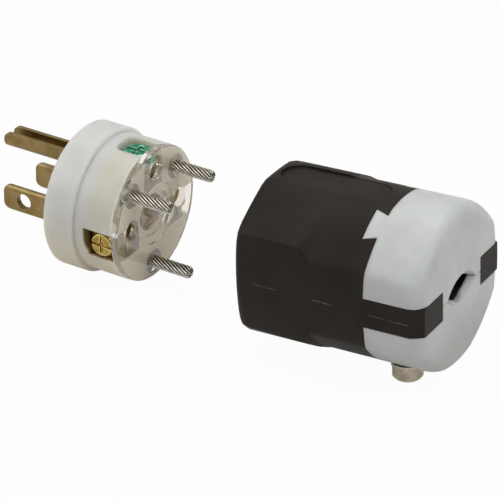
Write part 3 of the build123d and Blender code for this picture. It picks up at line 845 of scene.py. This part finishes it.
sunk = add_node(
    thread_tree,
    "ShaderNodeMath",
    {"operation": "MULTIPLY"},
    {0: hollow.outputs[0], 1: given.outputs["Groove depth"]},
)
part_sunk = add_node(
    thread_tree, "ShaderNodeMath", {"operation": "DIVIDE"}, {0: sunk.outputs[0], 1: given.outputs["Radius"]}
)
kept = add_node(thread_tree, "ShaderNodeMath", {"operation": "SUBTRACT"}, {0: 1.0, 1: part_sunk.outputs[0]})
pressed = add_node(
    thread_tree,
    "ShaderNodeVectorMath",
    {"operation": "SCALE"},
    {0: place.outputs[0], "Scale": kept.outputs[0]},
)
star = add_node(
    thread_tree,
    "GeometryNodeSetPosition",
    inputs={"Geometry": circle.outputs[0], "Position": pressed.outputs[0]},
)
marked = add_node(
    thread_tree,
    "GeometryNodeStoreNamedAttribute",
    {"data_type": "FLOAT", "domain": "POINT"},
    {"Geometry": star.outputs[0], "Name": "groove", "Value": hollow.outputs[0]},
)
print("Nodes with the section:", len(thread_tree.nodes))

# %% Tree for the steep thread: the section swept along the line
swept = add_node(
    thread_tree,
    "GeometryNodeCurveToMesh",
    inputs={
        "Curve": twisted.outputs[0],
        "Profile Curve": marked.outputs[0],
        "Scale": taper.outputs[0],
        "Fill Caps": True,
    },
)
real = add_node(thread_tree, "GeometryNodeRealizeInstances", inputs={"Geometry": swept.outputs[0]})
painted = add_node(
    thread_tree,
    "GeometryNodeSetMaterial",
    inputs={"Geometry": real.outputs[0], "Material": given.outputs["Material"]},
)
thread_tree.links.new(painted.outputs[0], result.inputs[0])
print("Thread tree nodes:", len(thread_tree.nodes))

# %% Assembly screws: heads and shanks from the solids, threads from the tree
thread_start = 18.5 * MM
head_end = thread_start + 0.2 * MM
screw_work = bmesh.new()
screw_work.verts.layers.float.new("groove")
for name in ("left", "right", "lower"):
    low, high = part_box(f"assembly_screw_{name}")
    middle = (Vector(low) + Vector(high)) / 2
    work = merged_copy(f"assembly_screw_{name}")
    bmesh.ops.bisect_plane(
        work,
        geom=list(work.verts) + list(work.edges) + list(work.faces),
        plane_co=(head_end, 0, 0),
        plane_no=(1, 0, 0),
        clear_outer=True,
    )
    bmesh.ops.holes_fill(work, edges=[e for e in work.edges if e.is_boundary], sides=0)
    round_edges(work, 0.12, 2)
    head = bpy.data.meshes.new("head")
    work.to_mesh(head)
    work.free()
    thread = grow(
        "thread",
        thread_tree,
        {
            "Start": (thread_start, middle.y, middle.z),
            "End": (high[0], middle.y, middle.z),
            "Radius": 1.45 * MM,
            "Groove depth": 0.34 * MM,
            "Starts": 12,
            "Lead": 16 * MM,
            "Tip scale": 0.82,
            "Tip length": 0.5 * MM,
            "Steps": 90,
            "Material": steel,
        },
    )
    for mesh in (head, thread):
        screw_work.from_mesh(mesh)
        bpy.data.meshes.remove(mesh)
screw_nodes = [f"assembly_screw_{name}" for name in ("left", "right", "lower")]
screws = as_piece(screw_work, "steep_thread_screws", steel, screw_nodes)
print("Assembly screw faces:", len(screws.data.polygons))

# %% [markdown]
# ## Black moulded nylon shell
# The back shell is glass-filled black nylon. It isn't quite black: the photograph shows a warm brown black,
# paler where the light grazes it, with a satin sheen that is broken by a fine grain. Its edges are only as
# round as the mould leaves them, about a quarter of a millimetre. The grip's outline is judged by its
# silhouette, so the copy's vertices are moved to the one that the photograph shows, by their angle round the
# shell's axis.

# %% Shell material
# Glass-filled polyamide 6, black: satin, with a warm brown cast where the light grazes it. Its real grain is
# near 0.1 mm, which no pixel would show, so it is drawn at 0.4 mm
shell_black = surface(
    "moulded_glass_filled_nylon",
    tones=("#211b17", "#2b241f"),
    patch_mm=14.0,
    grain_mm=0.4,
    depth_mm=0.015,
    roughness=(0.42, 0.55),
    settings={"IOR": 1.53, "Specular IOR Level": 0.14},
)[0]
print("Shell material ready")

# %% Shell piece, with flatter diagonals and a sharper rim than the solid
shell_pitch = math.radians(4.2)
side_half_width = 18.8
section_length, section_bore = 17.7, 16.35
rim_round, rim_round_kept = 2.0, 0.45
side_corner, top_corner = 33.0, 72.0
diagonal_distance, diagonal_angle = 18.9, 59.7
corner_blunt, corner_reach = 0.5, 6.0
shell_frame = Matrix.Translation(Vector((51.2, 0, 1.608)) * MM) @ Matrix.Rotation(-shell_pitch, 4, "Y")
to_shell = shell_frame.inverted()


def outline_limit(angle):
    """The radius, in millimetres, of the front section's diagonals at an angle up or down from its sides.

    They run almost straight from corner to corner, with a bulge of a quarter millimetre.
    """
    straight = diagonal_distance / math.cos(math.radians(angle - diagonal_angle))
    return straight + 0.25 * math.sin(math.pi * (angle - side_corner) / (top_corner - side_corner))


shell_work = merged_copy("back_shell")
moved = 0
for vert in shell_work.verts:
    local = to_shell @ vert.co
    across, around = local.yz.length / MM, math.degrees(math.atan2(abs(local.z), abs(local.y)))
    along = local.x / MM
    if along < section_length and across > section_bore:
        # The rim is rounded by less than half of what the solid has
        left = min(max(0.0, rim_round - along), rim_round)
        inset = rim_round - math.sqrt(rim_round**2 - left**2)
        wanted = across + (1 - rim_round_kept) * inset
        if side_corner < around < top_corner:
            wanted = min(wanted, outline_limit(around) - rim_round_kept * inset)
        # The corner between side and diagonal is blunted, most of all at the front
        near_corner = max(0.0, 1 - abs(around - side_corner) / corner_reach)
        wanted -= corner_blunt * near_corner * max(0.0, 1 - along / section_length)
        if abs(wanted - across) > 0.001:
            local.yz = local.yz * (wanted / across)
            moved += 1
    local.y = max(-side_half_width * MM, min(side_half_width * MM, local.y))
    vert.co = shell_frame @ local
round_edges(shell_work, 0.25, 2)
shell = as_piece(shell_work, "back_shell_moulding", shell_black, ["back_shell"])
print("Shell:", moved, "vertices moved,", len(shell.data.polygons), "faces")

# %% [markdown]
# ## Flash at the mould's parting line
# Where the two halves of the mould meet, a thread of plastic creeps into the joint and stays as a thin ridge,
# here and there along the shell's sides and arms. It follows a path, so Geometry Nodes grows it: a line
# becomes a curve, noise makes its thickness swell and sink, and a small circle is swept along it.

# %% Tree for the parting line
flash_sizes = {
    "Radius": FLOAT,
    "Spacing": FLOAT,
    "Unevenness": FLOAT,
    "Seed": FLOAT,
    "Material": "NodeSocketMaterial",
}
flash_tree, given, result = new_tree("parting_line", flash_sizes)
path = add_node(flash_tree, "GeometryNodeMeshToCurve", inputs={"Mesh": given.outputs["Geometry"]})
even = add_node(
    flash_tree,
    "GeometryNodeResampleCurve",
    {"mode": "LENGTH"},
    {"Curve": path.outputs[0], "Length": given.outputs["Spacing"]},
)
along = add_node(flash_tree, "GeometryNodeSplineParameter")
spot = add_node(
    flash_tree, "ShaderNodeCombineXYZ", inputs={"X": along.outputs["Length"], "Y": given.outputs["Seed"]}
)
swell = add_node(
    flash_tree,
    "ShaderNodeTexNoise",
    {"noise_dimensions": "2D"},
    {"Vector": spot.outputs[0], "Scale": pattern_scale(2.0), "Detail": 2.0},
)
uneven = add_node(
    flash_tree,
    "ShaderNodeMapRange",
    inputs={
        "Value": swell.outputs[0],
        "From Min": 0.4,
        "From Max": 0.6,
        "To Min": given.outputs["Unevenness"],
        "To Max": 1.0,
    },
)
to_end = add_node(
    flash_tree, "ShaderNodeMath", {"operation": "PINGPONG"}, {0: along.outputs["Factor"], 1: 0.5}
)
fade = add_node(
    flash_tree, "ShaderNodeMapRange", inputs={"Value": to_end.outputs[0], "From Max": 0.12, "To Min": 0.1}
)
thickness = add_node(
    flash_tree, "ShaderNodeMath", {"operation": "MULTIPLY"}, {0: uneven.outputs[0], 1: fade.outputs[0]}
)
profile = add_node(
    flash_tree,
    "GeometryNodeCurvePrimitiveCircle",
    inputs={"Radius": given.outputs["Radius"], "Resolution": 10},
)
ridge = add_node(
    flash_tree,
    "GeometryNodeCurveToMesh",
    inputs={
        "Curve": even.outputs[0],
        "Profile Curve": profile.outputs[0],
        "Scale": thickness.outputs[0],
        "Fill Caps": True,
    },
)
real = add_node(flash_tree, "GeometryNodeRealizeInstances", inputs={"Geometry": ridge.outputs[0]})
painted = add_node(
    flash_tree,
    "GeometryNodeSetMaterial",
    inputs={"Geometry": real.outputs[0], "Material": given.outputs["Material"]},
)
flash_tree.links.new(painted.outputs[0], result.inputs[0])
print("Parting line tree nodes:", len(flash_tree.nodes))

# %% Flash on the shell
# Flash is resin with no glass in it, so it is glossier than the shell round it; its paler tones are a painted
# glint
flash_resin_painted_glint = surface(
    "resin_flash_painted_glint",
    tones=("#4f4841", "#655c54"),
    patch_mm=3.0,
    grain_mm=0.3,
    depth_mm=0.004,
    roughness=(0.22, 0.36),
    settings={"IOR": 1.53},
)[0]
flash_work = bmesh.new()
# Stretches along the shell in millimetres, on a line that falls a little towards the cord
stretches = [(4.4, 10.2), (18.8, 23.8), (31.9, 36.2), (36.6, 41.6)]
line_height, line_fall = 0.6, 0.023
for side in (-1, 1):
    for number, (start, end) in enumerate(stretches):
        line = [
            shell_frame @ (Vector((at, side * side_half_width, line_height - line_fall * at)) * MM)
            for at in (start, (start + end) / 2, end)
        ]
        sizes = {
            "Radius": 0.09 * MM,
            "Spacing": 0.12 * MM,
            "Unevenness": 0.35,
            "Seed": number + 10.0 * side,
            "Material": flash_resin_painted_glint,
        }
        mesh = grow("flash", flash_tree, sizes, line)
        flash_work.from_mesh(mesh)
        bpy.data.meshes.remove(mesh)
flash = as_piece(flash_work, "parting_line_flash", flash_resin_painted_glint, [])
print("Flash ridges:", 2 * len(stretches), "faces:", len(flash.data.polygons))

# %% [markdown]
# ## White cord jaws
# The two jaws are the same nylon as the body, but thick and solid, so they look whiter and a little blue.
# Light goes less deep into them, so their scattering is shorter. Their edges are a little rounder than the
# shell's.

# %% Jaw material
# White polyamide 6: whiter and a little bluer than the body, satin, with light carried a millimetre or two
jaw_settings = {
    "IOR": 1.53,
    "Subsurface Weight": 0.7,
    "Subsurface Radius": (0.9, 0.95, 1.0),
    "Subsurface Scale": 2.2 * MM,
}
jaw_white, tree, shader, tone = surface(
    "moulded_white_nylon",
    tones=("#cacdcb", "#d5d8d5"),
    patch_mm=8.0,
    grain_mm=0.4,
    depth_mm=0.01,
    roughness=(0.34, 0.46),
    settings=jaw_settings,
)
# Greyer towards the underside, where less of the light goes in
place = add_node(tree, "ShaderNodeTexCoord").outputs["Object"]
parts = add_node(tree, "ShaderNodeSeparateXYZ", inputs={0: place})
low = add_node(
    tree,
    "ShaderNodeMapRange",
    {"interpolation_type": "SMOOTHSTEP"},
    {"Value": parts.outputs["Z"], "From Min": 4 * MM, "From Max": -12 * MM, "To Max": 0.75},
)
greyer = add_node(
    tree, "ShaderNodeMix", {"data_type": "RGBA"}, {0: low.outputs[0], 6: tone, 7: linear("#b3b3ae")}
)
tree.links.new(greyer.outputs[2], shader.inputs["Base Color"])
print("Jaw material ready")

# %% Jaw pieces
softened("upper_clamp_jaw", "upper_jaw_moulding", jaw_white, 0.3, 3)
softened("lower_clamp_jaw", "lower_jaw_moulding", jaw_white, 0.3, 3)

# %% [markdown]
# ## Nickel-plated clamp screws, and what lies inside the shell
# The heads of the clamp screws stand below the lower jaw on washers. Nickel is warmer than zinc and shines
# more. The inserts, the nuts and the rubber seal are only seen through the shell's open front.

# %% Small parts of the back half
# Nickel-plated steel: warm and bright, with slow and faint changes of tone
nickel = surface(
    "nickel_plated_steel",
    tones=("#cfc4b2", "#b0a491"),
    patch_mm=2.0,
    grain_mm=0.3,
    depth_mm=0.002,
    roughness=(0.08, 0.18),
    settings={"Metallic": 1.0},
)[0]
for name in ("left", "right"):
    softened(f"clamp_screw_{name}", f"{name}_clamp_screw_turning", nickel, 0.12)
    softened(f"clamp_washer_{name}", f"{name}_clamp_washer_disc", nickel, 0.1)

# Moulded neoprene: matt black with a grey bloom
rubber = surface(
    "moulded_neoprene",
    tones=("#161616", "#24231f"),
    patch_mm=1.5,
    grain_mm=0.5,
    depth_mm=0.02,
    roughness=(0.7, 0.85),
    settings={"IOR": 1.52},
)[0]
carried = {
    "cord_seal": rubber,
    "shell_insert_left": turned_brass,
    "shell_insert_right": turned_brass,
    "shell_insert_lower": turned_brass,
    "clamp_nut_left": steel,
    "clamp_nut_right": steel,
}
for node_name, material in carried.items():
    materials = frame["nodes"][node_name].data.materials
    materials.clear()
    materials.append(material)
print("Carried over:", list(carried))

# %% [markdown]
# ## The view transform
# The picture is shown through the Standard view transform.

# %% View transform
scene.view_settings.view_transform = "Standard"
